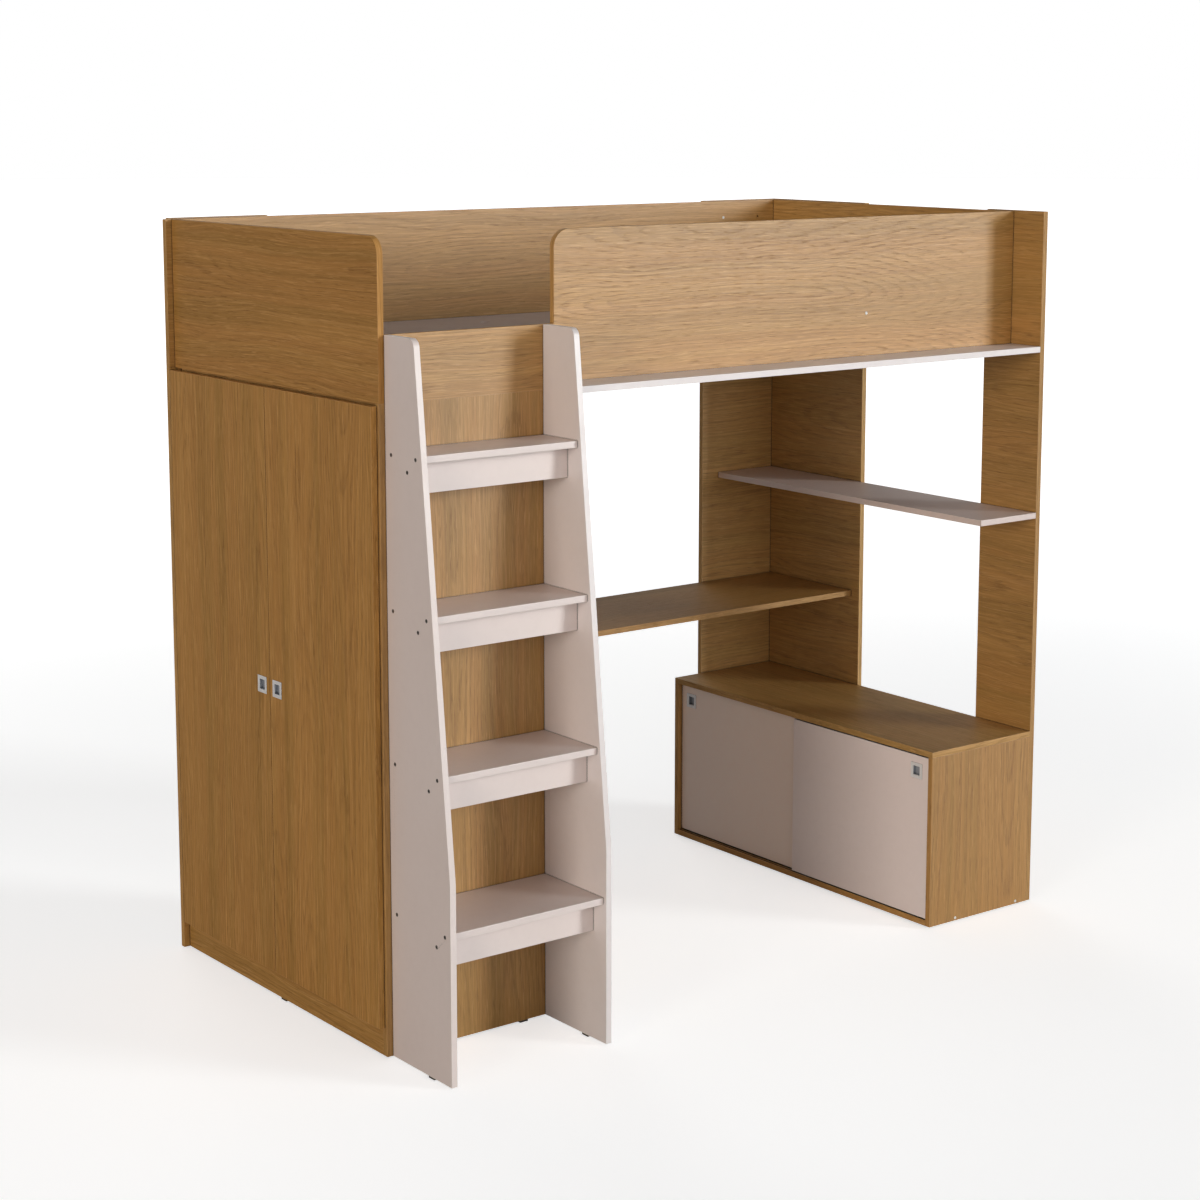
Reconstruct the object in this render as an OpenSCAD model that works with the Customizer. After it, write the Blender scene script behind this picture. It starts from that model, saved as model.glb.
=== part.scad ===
// Loft bed with a wardrobe and ladder at one end, a desk in the middle
// and an open shelf over a low cabinet at the other end.
// Lengths are in millimetres, Z is up, X runs along the bed and the
// ladder side faces -Y. The origin is on the floor, in the middle of the
// bed's outline with the ladder counted in.

/* [Board stock] */
// thickness of every panel, both wood finished and lacquered
board_t = 15; // [12:0.5:20]
// height of the plastic glides under the panels
foot_h = 5; // [3:0.5:10]

/* [Mattress well] */
// inside length between the two end guards
well_len = 1890; // [1780:5:2010]
// inside width between the front and the back guard
well_w = 900; // [840:5:1000]
// top edge of all guards above the panel feet
guard_top = 1806; // [1740:2:1900]
// height of the guard boards
guard_h = 355; // [330:5:380]
// radius of the rounded guard corners beside the entrance
guard_r = 42; // [10:1:60]
// depth of the mattress deck's top below the guards' top
deck_drop = 278; // [266:1:300]
// diameter of the ventilation holes in the deck
deck_hole_d = 26; // [10:1:40]
// distance of the ventilation holes from the deck panels' end edges
deck_hole_end = 156; // [80:1:200]
// distance of the ventilation holes from the deck panels' long sides
deck_hole_side = 150; // [80:1:200]

/* [Deck supports] */
// height of the bearers that cross the bed
bearer_h = 25; // [20:1:30]
// width of the bearers that cross the bed
bearer_w = 40; // [30:1:60]
// bearers along the bed
bearer_count = 7; // [5:2:9]
// thickness of the cleats that carry the bearers
cleat_t = 20; // [15:1:30]

/* [Uprights and beam] */
// how far the uprights stand above the guards
upright_over = 2; // [0:0.5:6]
// width of the upright behind the wardrobe
back_left_w = 270; // [200:5:330]
// width of the upright behind the cabinet
back_right_w = 259; // [200:1:330]
// width of the rear upright at the cabinet end
end_rear_w = 393; // [300:1:450]
// width of the front upright at the cabinet end
end_front_w = 197; // [150:1:240]
// how far the beam, the cabinet and the front upright stand out in front
front_reach = 103; // [60:1:120]

/* [Wardrobe] */
// outside depth of the wardrobe along the bed
ward_w = 460; // [420:1:500]
// height of the kick board
kick_h = 64; // [50:1:90]
// gap around the doors
door_gap = 2; // [1.5:0.1:3]
// gap over the doors
door_top_gap = 5; // [3:0.5:10]
// gap between a door's back and the panel edge behind it
door_back_gap = 1; // [0.8:0.1:2]
// width of the front side's edge that the right door leaves free
door_free = 7.5; // [5:0.5:10]
// lower shelf, top face above the panel feet
shelf_low_z = 500; // [300:5:640]
// upper shelf, top face above the panel feet
shelf_high_z = 960; // [800:5:1150]
// diameter of the hanging rail
rail_d = 25; // [18:1:30]
// distance of the hanging rail's centre under the wardrobe's lid
rail_drop = 64; // [45:1:120]

/* [Door fittings] */
// diameter of the hinge cups
cup_d = 35; // [26:1:35]
// depth of the hinge cups
cup_depth = 11; // [9:0.5:11.5]
// distance from a door's edge to the middle of a hinge cup
cup_edge = 22.5; // [20:0.5:26]
// hinges on each wardrobe door
hinge_count = 3; // [2:1:4]
// distance of the outer hinges from a door's ends
hinge_end = 105; // [80:5:200]
// distance of the hinge plates behind the door faces
plate_x = 34; // [30:1:40]
// length of the hinge plates along the side panels
plate_len = 30; // [24:1:40]
// height of the hinge plates
plate_h = 48; // [40:1:56]
// length of the hinge arms behind the door faces
arm_len = 84; // [70:1:100]
// height of the hinge arms
arm_h = 16; // [12:1:18]
// thickness of the hinge arms
arm_t = 9; // [6:0.5:11]
// side of the square pulls
pull_side = 40; // [34:1:46]
// side of the square recess in the pulls
pull_recess = 23; // [16:1:26]
// depth of the pull's body behind the door face
pull_depth = 8; // [6:0.5:8.5]
// thickness of the pull's rim in front of the door face
pull_rim = 1.2; // [0.6:0.1:1.6]
// height of the wardrobe pulls above the panel feet
pull_z = 752; // [600:1:900]
// distance from a door's edge to the middle of its pull
pull_edge = 33; // [26:1:60]

/* [Ladder] */
// depth of the entrance step and the stiles' top below the guards' top
entrance_drop = 209; // [180:1:230]
// depth of the stiles at the floor
stile_foot_reach = 232; // [180:1:300]
// depth of the stiles at the top
stile_top_reach = 113; // [90:1:150]
// height at which the stile's front edge starts to lean
stile_knee_z = 447; // [300:1:520]
// radius of the stile's top corner
stile_r = 20; // [8:1:40]
// height from the highest tread to the entrance step
last_step = 246; // [180:1:300]
// how far the treads stay behind the stile's front edge
tread_setback = 10; // [4:1:20]
// height of the riser under each tread
riser_h = 70; // [40:1:100]
// how far a riser stays behind its tread's front edge
riser_setback = 37; // [20:1:50]
// head diameter of the ladder screws
screw_head_d = 8; // [6:0.5:10]
// shank diameter of the ladder screws
screw_d = 5; // [3:0.5:5]
// length of the ladder screws
screw_len = 48; // [35:1:60]
// distance of the rear ladder screws from the stiles' rear edge
screw_rear = 22; // [15:1:40]
// distance of the front ladder screws from the treads' front edge
screw_front = 12; // [9:1:20]
// distance of the riser screws under the treads
screw_drop = 23; // [15:1:32]

/* [Desk and shelf] */
// top of the desk above the panel feet
desk_top_z = 725; // [680:1:760]
// depth of the desk
desk_depth = 347; // [300:1:378]
// height of the stiffening rail under the desk's rear edge
desk_rail_h = 80; // [50:1:100]
// top of the open shelf above the panel feet
open_shelf_z = 1037; // [900:1:1200]
// width of the open shelf
open_shelf_w = 200; // [150:1:240]

/* [Cabinet] */
// outside width of the cabinet along the bed
cab_w = 355; // [320:1:400]
// height of the cabinet
cab_h = 459; // [400:1:520]
// thickness of the sliding doors
slide_t = 9; // [6:0.5:10]
// gap between the two sliding doors
slide_gap = 3; // [2.5:0.1:4]
// how far the front sliding door sits behind the cabinet's edges
slide_in = 2; // [1:0.5:4]
// width over which the closed sliding doors lap
slide_lap = 21; // [12:1:60]
// gap under the sliding doors
slide_low_gap = 3; // [2:0.5:4]
// gap over the sliding doors
slide_top_gap = 4; // [3:0.5:5]
// width of the guide grooves in the cabinet's floor and top
groove_w = 5; // [4:0.5:6]
// depth of the guide grooves
groove_d = 7; // [5:0.5:9]

/* [Small parts] */
// diameter of the white screw caps
cap_d = 7.5; // [7:0.5:12]
// diameter of the holes under the caps
cap_hole_d = 5; // [4:0.5:6]
// thickness of the caps
cap_t = 1; // [0.5:0.1:1.5]
// distance of the front guard's cap from the cabinet end
cap_front_x = 512; // [100:1:1200]
// height of the front guard's cap over the guard's lower edge
cap_front_up = 120; // [60:1:300]
// distances of the back guard's two screws from the cabinet end
cap_back_x = [201, 74]; // [50:1:500]
// height of the back guard's screws over the guard's lower edge
cap_back_up = 310; // [200:1:330]
// distances of the cabinet's two caps from the cabinet's back
cap_cabinet_x = [262, 40]; // [20:1:300]
// length of the plastic feet
foot_long = 22; // [16:1:30]
// width of the plastic feet
foot_wide = 12; // [8:0.5:14]

/* [Hidden] */
// side clearance of a glide's tongue in its groove
groove_clear = 0.4;
// bottom thickness of the hinge cups, and the gap over it to the arm's tip
cup_wall = 1;
tip_clear = 0.2;
// thickness of the hinge plates and of the cups' flanges
plate_t = 2.5;
flange_t = 1.2;
// radial clearance of the screws in their holes
screw_clear = 0.1;
// the named nodes below hold this many deck panels and treads
deck_panels = 3;
tread_count = 4;
t = board_t;
oak = "#a8854f";
blush = "#d8c6bf";
steel = "#b9bcc0";
dark = "#3c3733";
white = "#f2f2f0";
black = "#1d1b1a";
pine = "#d9bd88";
silver = "#c9cdd0";
hole_fn = 32;
big_fn = 96;

// main planes, measured from the wardrobe's front left corner
y_well0 = t;
y_well1 = t + well_w;
y_mid = y_well1 + t;
y_rear = y_mid + t;
x_well0 = t;
x_well1 = t + well_len;
x_end = x_well1 + t;
x_far = x_end + t;
guard_z = guard_top - guard_h;
upright_top = guard_top + upright_over;
deck_top = guard_top - deck_drop;
ladder_top = guard_top - entrance_drop;
deck_z = deck_top - t;
bearer_z = deck_z - bearer_h;
beam_top = guard_z + t;

// wardrobe
door_back = -door_back_gap;
door_face = door_back - t;
ward_in = ward_w - t;
ladder_x = t;
stile2_x = ward_w - 2 * t;
floor_top = kick_h + t;
ward_lid_z = guard_z - t;
mid_y = (t + y_mid) / 2;
part_y = mid_y - t / 2;
door_z0 = kick_h + door_gap;
door_z1 = guard_z - door_top_gap;
left_y1 = y_well1 - door_gap;
right_y0 = door_free;
door_mid_y = (right_y0 + left_y1) / 2;
left_y0 = door_mid_y + door_gap / 2;
right_y1 = door_mid_y - door_gap / 2;
shelf_x = 8;
lid_x = t + 2;
rail_x = (lid_x + ward_in) / 2;
rail_z = ward_lid_z - rail_drop;

// cabinet
cab_x = x_end - cab_w;
cab_y0 = -front_reach;
cab_lid_z = cab_h - t;
slide1_x = cab_x + slide_in;
slide2_x = slide1_x + slide_t + slide_gap;
slide_span = y_well1 - cab_y0 - t;
slide_len = (slide_span + slide_lap) / 2;
slide_z0 = t + slide_low_gap;
slide_z1 = cab_lid_z - slide_top_gap;
slide_pull_z = slide_z1 - 40;
divider_x = slide2_x + slide_t + 6;

// whole outline
mid_x_all = (x_far + door_face - pull_rim) / 2;
mid_y_all = (y_rear - stile_foot_reach) / 2;

// depth of the ladder's stile at a height
function stile_reach(z) =
    z <= stile_knee_z ? stile_foot_reach
    : stile_foot_reach - (z - stile_knee_z)
      * (stile_foot_reach - stile_top_reach) / (ladder_top - stile_knee_z);
// the treads divide the height under the last step evenly
function tread_z(i) = (i + 1) * (ladder_top - last_step) / tread_count;
function tread_reach(i) = stile_reach(tread_z(i)) - tread_setback;
function hinge_z(i) =
    door_z0 + hinge_end
    + i * (door_z1 - door_z0 - 2 * hinge_end) / (hinge_count - 1);

// moves a piece from the wardrobe corner to the origin on the floor
module place() {
    translate([-mid_x_all, -mid_y_all, foot_h])
        children();
}

// board between two corners
module board(lo, hi) {
    translate(lo)
        cube([hi[0] - lo[0], hi[1] - lo[1], hi[2] - lo[2]]);
}

// flat shape drawn as X and Z, given a thickness in +Y
module slab_xz(y, thick) {
    translate([0, y + thick, 0])
        rotate([90, 0, 0])
            linear_extrude(height = thick)
                children();
}

// flat shape drawn as Y and Z, given a thickness in +X
module slab_yz(x, thick) {
    translate([x, 0, 0])
        rotate([90, 0, 90])
            linear_extrude(height = thick)
                children();
}

// rectangle whose upper left corner is round
module round_left_top(w, h, r) {
    translate([r, 0])
        square([w - r, h]);
    square([r + 0.01, h - r]);
    translate([r, h - r])
        circle(r = r, $fn = big_fn);
}

// hole along Y
module bore_y(x, y, z, d, len) {
    translate([x, y, z])
        rotate([-90, 0, 0])
            cylinder(d = d, h = len, $fn = hole_fn);
}

// hole along X
module bore_x(x, y, z, d, len) {
    translate([x, y, z])
        rotate([0, 90, 0])
            cylinder(d = d, h = len, $fn = hole_fn);
}

// guards around the mattress

module guard_left() {
    color(oak) place()
        slab_yz(0, t)
            translate([0, guard_z])
                round_left_top(y_well1, guard_h, guard_r);
}

module guard_right() {
    color(oak) place()
        board([x_well1, y_well0, guard_z], [x_end, y_well1, guard_top]);
}

module guard_back() {
    color(oak) place()
        difference() {
            board([door_face, y_well1, guard_z], [x_end, y_mid, guard_top]);
            for (c = back_caps)
                bore_y(c[0], y_well1 - 1, c[1], cap_hole_d, 9);
        }
}

module guard_front() {
    color(oak) place()
        difference() {
            slab_xz(0, t)
                union() {
                    translate([x_well0, guard_z])
                        square([ward_w - x_well0 + 1, ladder_top - guard_z]);
                    translate([ward_w, guard_z])
                        round_left_top(x_end - ward_w, guard_h, guard_r);
                }
            bore_y(front_cap[0], -1, front_cap[1], cap_hole_d, 9);
        }
}

// lacquered beam in front of the front guard
module front_beam() {
    color(blush) place()
        board([stile2_x + t, -front_reach, guard_z], [x_end, 0, beam_top]);
}

// uprights

module upright_back_left() {
    color(oak) place()
        board([0, y_mid, 0], [back_left_w, y_rear, upright_top]);
}

module upright_back_right() {
    color(oak) place()
        board([x_end - back_right_w, y_mid, 0], [x_end, y_rear, upright_top]);
}

module upright_end_rear() {
    color(oak) place()
        board([x_end, y_rear - end_rear_w, 0], [x_far, y_rear, upright_top]);
}

module upright_end_front() {
    color(oak) place()
        board([x_end, -front_reach, 0], [x_far, end_front_w - front_reach, upright_top]);
}

// mattress deck and its supports

module deck_panel(i) {
    w = well_len / deck_panels;
    x0 = x_well0 + i * w + 0.5;
    x1 = x_well0 + (i + 1) * w - 0.5;
    color(blush) place()
        difference() {
            board([x0, y_well0 + 1, deck_z], [x1, y_well1 - 1, deck_top]);
            for (x = [x0 + deck_hole_end, x1 - deck_hole_end])
                for (y = [y_well0 + deck_hole_side, y_well1 - deck_hole_side])
                    translate([x, y, deck_z - 1])
                        cylinder(d = deck_hole_d, h = t + 2, $fn = hole_fn);
        }
}

module deck_panel_left() {
    deck_panel(0);
}

module deck_panel_middle() {
    deck_panel(1);
}

module deck_panel_right() {
    deck_panel(deck_panels - 1);
}

module deck_cleats() {
    color(pine) place()
        for (y = [y_well0, y_well1 - cleat_t])
            board([x_well0, y, guard_z], [x_well1, y + cleat_t, bearer_z]);
}

module deck_bearers() {
    step = (well_len - bearer_w) / (bearer_count - 1);
    color(pine) place()
        for (i = [0 : bearer_count - 1])
            board([x_well0 + i * step, y_well0, bearer_z],
                  [x_well0 + i * step + bearer_w, y_well1, deck_z]);
}

// ladder

// outline of a stile, its depth drawn to the left of the rear edge
module stile_outline() {
    lean = atan((stile_foot_reach - stile_top_reach) / (ladder_top - stile_knee_z));
    corner = [-stile_top_reach, ladder_top];
    // the rounding touches the two edges this far from the corner
    far = stile_r / tan(45 + lean / 2);
    mid = [far - stile_top_reach, ladder_top - stile_r];
    difference() {
        polygon([[0, 0], [-stile_foot_reach, 0], [-stile_foot_reach, stile_knee_z],
                 corner, [0, ladder_top]]);
        difference() {
            polygon([mid, mid + 2 * stile_r * [-cos(lean), sin(lean)],
                     corner + stile_r * [-1, 2], mid + [0, 2 * stile_r]]);
            translate(mid)
                circle(r = stile_r, $fn = big_fn);
        }
    }
}

// positions of the screws on a stile as depth and height
function step_screws(i) = [
    [screw_rear, tread_z(i) - t / 2],
    [tread_reach(i) - screw_front, tread_z(i) - t / 2],
    [tread_reach(i) - riser_setback - t / 2, tread_z(i) - t - screw_drop]
];

module ladder_screw_holes(extra) {
    for (i = [0 : tread_count - 1])
        for (s = step_screws(i)) {
            bore_x(ladder_x - 1, -s[0], s[1], screw_d + extra, screw_len + 2);
            bore_x(ladder_x - 1, -s[0], s[1], screw_head_d + extra, 4);
            bore_x(stile2_x + t + 1 - screw_len - 2, -s[0], s[1], screw_d + extra, screw_len + 2);
            bore_x(stile2_x + t - 3, -s[0], s[1], screw_head_d + extra, 4);
        }
}

module stile_left() {
    color(blush) place()
        difference() {
            slab_yz(ladder_x, t)
                stile_outline();
            ladder_screw_holes(2 * screw_clear);
        }
}

module stile_right() {
    color(blush) place()
        difference() {
            slab_yz(stile2_x, t)
                stile_outline();
            ladder_screw_holes(2 * screw_clear);
        }
}

module tread(i) {
    color(blush) place()
        difference() {
            board([ladder_x + t, -tread_reach(i), tread_z(i) - t],
                  [stile2_x, 0, tread_z(i)]);
            ladder_screw_holes(2 * screw_clear);
        }
}

module riser(i) {
    y1 = -tread_reach(i) + riser_setback + t;
    color(blush) place()
        difference() {
            board([ladder_x + t, y1 - t, tread_z(i) - t - riser_h],
                  [stile2_x, y1, tread_z(i) - t]);
            ladder_screw_holes(2 * screw_clear);
        }
}

module tread_1() {
    tread(0);
}

module tread_2() {
    tread(1);
}

module tread_3() {
    tread(2);
}

module tread_4() {
    tread(3);
}

module riser_1() {
    riser(0);
}

module riser_2() {
    riser(1);
}

module riser_3() {
    riser(2);
}

module riser_4() {
    riser(3);
}

// screw whose head ends flush, pointing along +X from the origin
module ladder_screw() {
    difference() {
        rotate([0, 90, 0])
            union() {
                cylinder(d = screw_head_d, h = 3, $fn = hole_fn);
                cylinder(d = screw_d, h = screw_len, $fn = hole_fn);
            }
        translate([-1, 0, 0])
            rotate([0, 90, 0])
                cylinder(d = 4, h = 3, $fn = 6);
    }
}

module ladder_screws() {
    color(dark) place()
        for (i = [0 : tread_count - 1])
            for (s = step_screws(i)) {
                translate([ladder_x, -s[0], s[1]])
                    ladder_screw();
                translate([stile2_x + t, -s[0], s[1]])
                    rotate([0, 0, 180])
                        ladder_screw();
            }
}

// white caps, given as positions on the boards

front_cap = [x_end - cap_front_x, guard_z + cap_front_up];
back_caps = [for (d = cap_back_x) [x_end - d, guard_z + cap_back_up]];
cabinet_caps = [for (d = cap_cabinet_x) [x_end - d, t / 2]];

module cap_out(x, y, z) {
    bore_y(x, y - cap_t, z, cap_d, cap_t);
    bore_y(x, y - 0.5, z, cap_hole_d - 0.4, 6);
}

module screw_caps() {
    color(white) place() {
        cap_out(front_cap[0], 0, front_cap[1]);
        cap_out(back_caps[0][0], y_well1, back_caps[0][1]);
        for (c = cabinet_caps)
            cap_out(c[0], cab_y0, c[1]);
    }
}

// desk and open shelf

module desk_top() {
    color(oak) place()
        board([ward_w, y_mid - desk_depth, desk_top_z - t], [x_end, y_mid, desk_top_z]);
}

module desk_rail() {
    color(oak) place()
        board([ward_w, y_well1, desk_top_z - t - desk_rail_h], [x_end, y_mid, desk_top_z - t]);
}

module open_shelf() {
    color(blush) place()
        board([x_end - open_shelf_w, -front_reach, open_shelf_z - t],
              [x_end, y_mid, open_shelf_z]);
}

// wardrobe

module wardrobe_side_front() {
    color(oak) place()
        board([0, 0, 0], [ward_w, t, guard_z]);
}

// the rear side stands out as far as the doors and covers their edge
module wardrobe_side_rear() {
    color(oak) place()
        board([door_face, y_well1, 0], [ward_w, y_mid, guard_z]);
}

module wardrobe_back() {
    color(oak) place()
        board([ward_in, t, 0], [ward_w, y_well1, guard_z]);
}

module wardrobe_floor() {
    color(oak) place()
        board([0, t, kick_h], [ward_in, y_well1, floor_top]);
}

module wardrobe_lid() {
    color(oak) place()
        board([lid_x, t, ward_lid_z], [ward_in, y_well1, guard_z]);
}

module wardrobe_partition() {
    color(oak) place()
        board([shelf_x, part_y, floor_top], [ward_in, part_y + t, ward_lid_z]);
}

module wardrobe_shelf_low() {
    color(oak) place()
        board([shelf_x, t, shelf_low_z - t], [ward_in, part_y, shelf_low_z]);
}

module wardrobe_shelf_high() {
    color(oak) place()
        board([shelf_x, t, shelf_high_z - t], [ward_in, part_y, shelf_high_z]);
}

module kick_board() {
    color(oak) place()
        board([0, t, 0], [t, y_well1, kick_h]);
}

module hanging_rail() {
    color(steel) place()
        difference() {
            bore_y(rail_x, part_y + t + 2, rail_z, rail_d, y_well1 - part_y - t - 4);
            bore_y(rail_x, part_y + t, rail_z, rail_d - 2.4, y_well1 - part_y - t);
        }
}

// round sockets that hold the hanging rail's ends
module rail_socket(y, turn) {
    translate([rail_x, y, rail_z])
        rotate([-90, 0, 0])
            rotate([turn, 0, 0])
                difference() {
                    cylinder(d = rail_d + 18, h = 12, $fn = big_fn);
                    translate([0, 0, 2])
                        cylinder(d = rail_d + 0.4, h = 11, $fn = big_fn);
                    translate([0, 0, 4])
                        difference() {
                            cylinder(d = rail_d + 40, h = 12, $fn = big_fn);
                            cylinder(d = rail_d + 5, h = 12, $fn = big_fn);
                        }
                }
}

module rail_sockets() {
    color(steel) place() {
        rail_socket(part_y + t, 0);
        rail_socket(y_well1, 180);
    }
}

// a wardrobe door with bores for its hinge cups and a pocket for its pull
module wardrobe_door(y0, y1, cup_y, pull_y) {
    difference() {
        board([door_face, y0, door_z0], [door_back, y1, door_z1]);
        for (i = [0 : hinge_count - 1])
            bore_x(door_back - cup_depth, cup_y, hinge_z(i), cup_d, cup_depth + 1);
        translate([door_face, pull_y, pull_z])
            pull_pocket(pull_depth);
    }
}

module door_left() {
    color(oak) place()
        wardrobe_door(left_y0, left_y1, left_y1 - cup_edge, left_y0 + pull_edge);
}

module door_right() {
    color(oak) place()
        wardrobe_door(right_y0, right_y1, right_y0 + cup_edge, right_y1 - pull_edge);
}

// hinge cup with its flange, set in the back of a door
module hinge_cup() {
    difference() {
        union() {
            bore_x(-cup_depth, 0, 0, cup_d - 0.2, cup_depth + 0.5);
            board([0, -cup_d / 5, -0.75 * cup_d], [flange_t, cup_d / 5, 0.75 * cup_d]);
        }
        bore_x(-cup_depth + cup_wall, 0, 0, cup_d - 4, cup_depth + 2);
    }
}

module hinge_cups(y) {
    color(steel) place()
        for (i = [0 : hinge_count - 1])
            translate([door_back, y, hinge_z(i)])
                hinge_cup();
}

module hinge_cups_left() {
    hinge_cups(left_y1 - cup_edge);
}

module hinge_cups_right() {
    hinge_cups(right_y0 + cup_edge);
}

// hinge arm on a wardrobe side, drawn for a side panel at Y 0 with the room in +Y
// and the door's face at X 0; its tip lies folded in the hinge cup
module hinge_arm(cup_y) {
    tip_far = cup_y + cup_d / 2 - cup_wall - 3.5;
    tip_h = 0.75 * arm_h;
    crank_x = t + 2 * door_back_gap;
    board([plate_x, 0, -plate_h / 2], [plate_x + plate_len, plate_t, plate_h / 2]);
    board([crank_x, plate_t - 0.5, -arm_h / 2], [arm_len, plate_t + arm_t, arm_h / 2]);
    board([crank_x, plate_t - 0.5, -arm_h / 2], [plate_x, tip_far, arm_h / 2]);
    board([t - cup_depth + cup_wall + tip_clear, cup_y - 2.5, -tip_h / 2],
          [crank_x + 1, tip_far, tip_h / 2]);
}

module hinge_arms() {
    color(steel) place()
        for (i = [0 : hinge_count - 1]) {
            translate([door_face, y_well1, hinge_z(i)])
                mirror([0, 1, 0])
                    hinge_arm(y_well1 - left_y1 + cup_edge);
            translate([door_face, t, hinge_z(i)])
                hinge_arm(right_y0 + cup_edge - t);
        }
}

// square pull set in a door, face at X 0 and the body in +X
module pull() {
    body = pull_recess + 5;
    difference() {
        union() {
            board([-pull_rim, -pull_side / 2, -pull_side / 2], [0, pull_side / 2, pull_side / 2]);
            board([-0.2, -body / 2, -body / 2], [pull_depth, body / 2, body / 2]);
        }
        board([-3, -pull_recess / 2, -pull_recess / 2],
              [pull_depth - 1, pull_recess / 2, pull_recess / 2]);
    }
}

module pull_pocket(depth) {
    side = pull_recess + 5.4;
    board([-1, -side / 2, -side / 2], [depth, side / 2, side / 2]);
}

module pull_left() {
    color(silver) place()
        translate([door_face, left_y0 + pull_edge, pull_z])
            pull();
}

module pull_right() {
    color(silver) place()
        translate([door_face, right_y1 - pull_edge, pull_z])
            pull();
}

// cabinet

// grooves that guide the two sliding doors
module guide_grooves(z) {
    for (x = [slide1_x, slide2_x])
        board([x + slide_t / 2 - groove_w / 2, cab_y0 + t, z],
              [x + slide_t / 2 + groove_w / 2, y_well1, z + groove_d + 1]);
}

module cabinet_top() {
    color(oak) place()
        difference() {
            board([cab_x, cab_y0, cab_lid_z], [x_end, y_mid, cab_h]);
            guide_grooves(cab_lid_z - 1);
        }
}

module cabinet_floor() {
    color(oak) place()
        difference() {
            board([cab_x, cab_y0 + t, 0], [x_end - t, y_well1, t]);
            guide_grooves(t - groove_d);
        }
}

module cabinet_side_front() {
    color(oak) place()
        difference() {
            board([cab_x, cab_y0, 0], [x_end, cab_y0 + t, cab_lid_z]);
            for (c = cabinet_caps)
                bore_y(c[0], cab_y0 - 1, c[1], cap_hole_d, 9);
        }
}

module cabinet_side_rear() {
    color(oak) place()
        board([cab_x, y_well1, 0], [x_end, y_mid, cab_lid_z]);
}

module cabinet_back() {
    color(oak) place()
        board([x_end - t, cab_y0 + t, 0], [x_end, y_well1, cab_lid_z]);
}

module cabinet_divider() {
    y = (cab_y0 + t + y_well1) / 2;
    color(oak) place()
        board([divider_x, y - t / 2, t], [x_end - t, y + t / 2, cab_lid_z]);
}

// sliding door with a through cut-out for its pull
module sliding_door(x, y0, pull_y) {
    difference() {
        board([x, y0, slide_z0], [x + slide_t, y0 + slide_len, slide_z1]);
        translate([x, pull_y, slide_pull_z])
            pull_pocket(slide_t + 1);
    }
}

front_door_y = cab_y0 + t + 1;
rear_door_y = y_well1 - 1 - slide_len;

module sliding_door_front() {
    color(blush) place()
        sliding_door(slide1_x, front_door_y, front_door_y + 42);
}

module sliding_door_rear() {
    color(blush) place()
        sliding_door(slide2_x, rear_door_y, rear_door_y + slide_len - 42);
}

module pull_slide_front() {
    color(silver) place()
        translate([slide1_x, front_door_y + 42, slide_pull_z])
            pull();
}

module pull_slide_rear() {
    color(silver) place()
        translate([slide2_x, rear_door_y + slide_len - 42, slide_pull_z])
            pull();
}

// glides under and over a sliding door, with tongues in the grooves
module door_glides(x, y0) {
    tongue = groove_w - 2 * groove_clear;
    xm = x + slide_t / 2;
    for (y = [y0 + 40, y0 + slide_len - 70]) {
        board([x, y, t], [x + slide_t, y + 30, slide_z0]);
        board([xm - tongue / 2, y, t - groove_d + 1], [xm + tongue / 2, y + 30, t + 0.5]);
        board([x, y, slide_z1], [x + slide_t, y + 30, cab_lid_z - 1]);
        board([xm - tongue / 2, y, cab_lid_z - 1.5], [xm + tongue / 2, y + 30, cab_lid_z + groove_d - 2]);
    }
}

module glides_front() {
    color(black) place()
        door_glides(slide1_x, front_door_y);
}

module glides_rear() {
    color(black) place()
        door_glides(slide2_x, rear_door_y);
}

// plastic feet under the panels, given as positions
feet_x = [[85, t / 2], [371, t / 2], [60, y_mid - t / 2], [400, y_mid - t / 2],
          [60, y_rear - t / 2], [220, y_rear - t / 2],
          [x_end - 220, y_rear - t / 2], [x_end - 40, y_rear - t / 2],
          [cab_x + 75, cab_y0 + 60], [x_end - 60, cab_y0 + 60],
          [cab_x + 75, mid_y], [x_end - 60, mid_y],
          [cab_x + 75, y_well1 - 50], [x_end - 60, y_well1 - 50]];
feet_y = [[ward_w - t / 2, 250], [ward_w - t / 2, 700], [t / 2, 456],
          [x_end + t / 2, y_rear - 70], [x_end + t / 2, y_rear - end_rear_w + 60],
          [x_end + t / 2, 45], [x_end + t / 2, -50],
          [ladder_x + t / 2, -150], [stile2_x + t / 2, -150]];

module feet() {
    color(dark) place() {
        for (p = feet_x)
            board([p[0] - foot_long / 2, p[1] - foot_wide / 2, -foot_h],
                  [p[0] + foot_long / 2, p[1] + foot_wide / 2, 0]);
        for (p = feet_y)
            board([p[0] - foot_wide / 2, p[1] - foot_long / 2, -foot_h],
                  [p[0] + foot_wide / 2, p[1] + foot_long / 2, 0]);
    }
}

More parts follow.
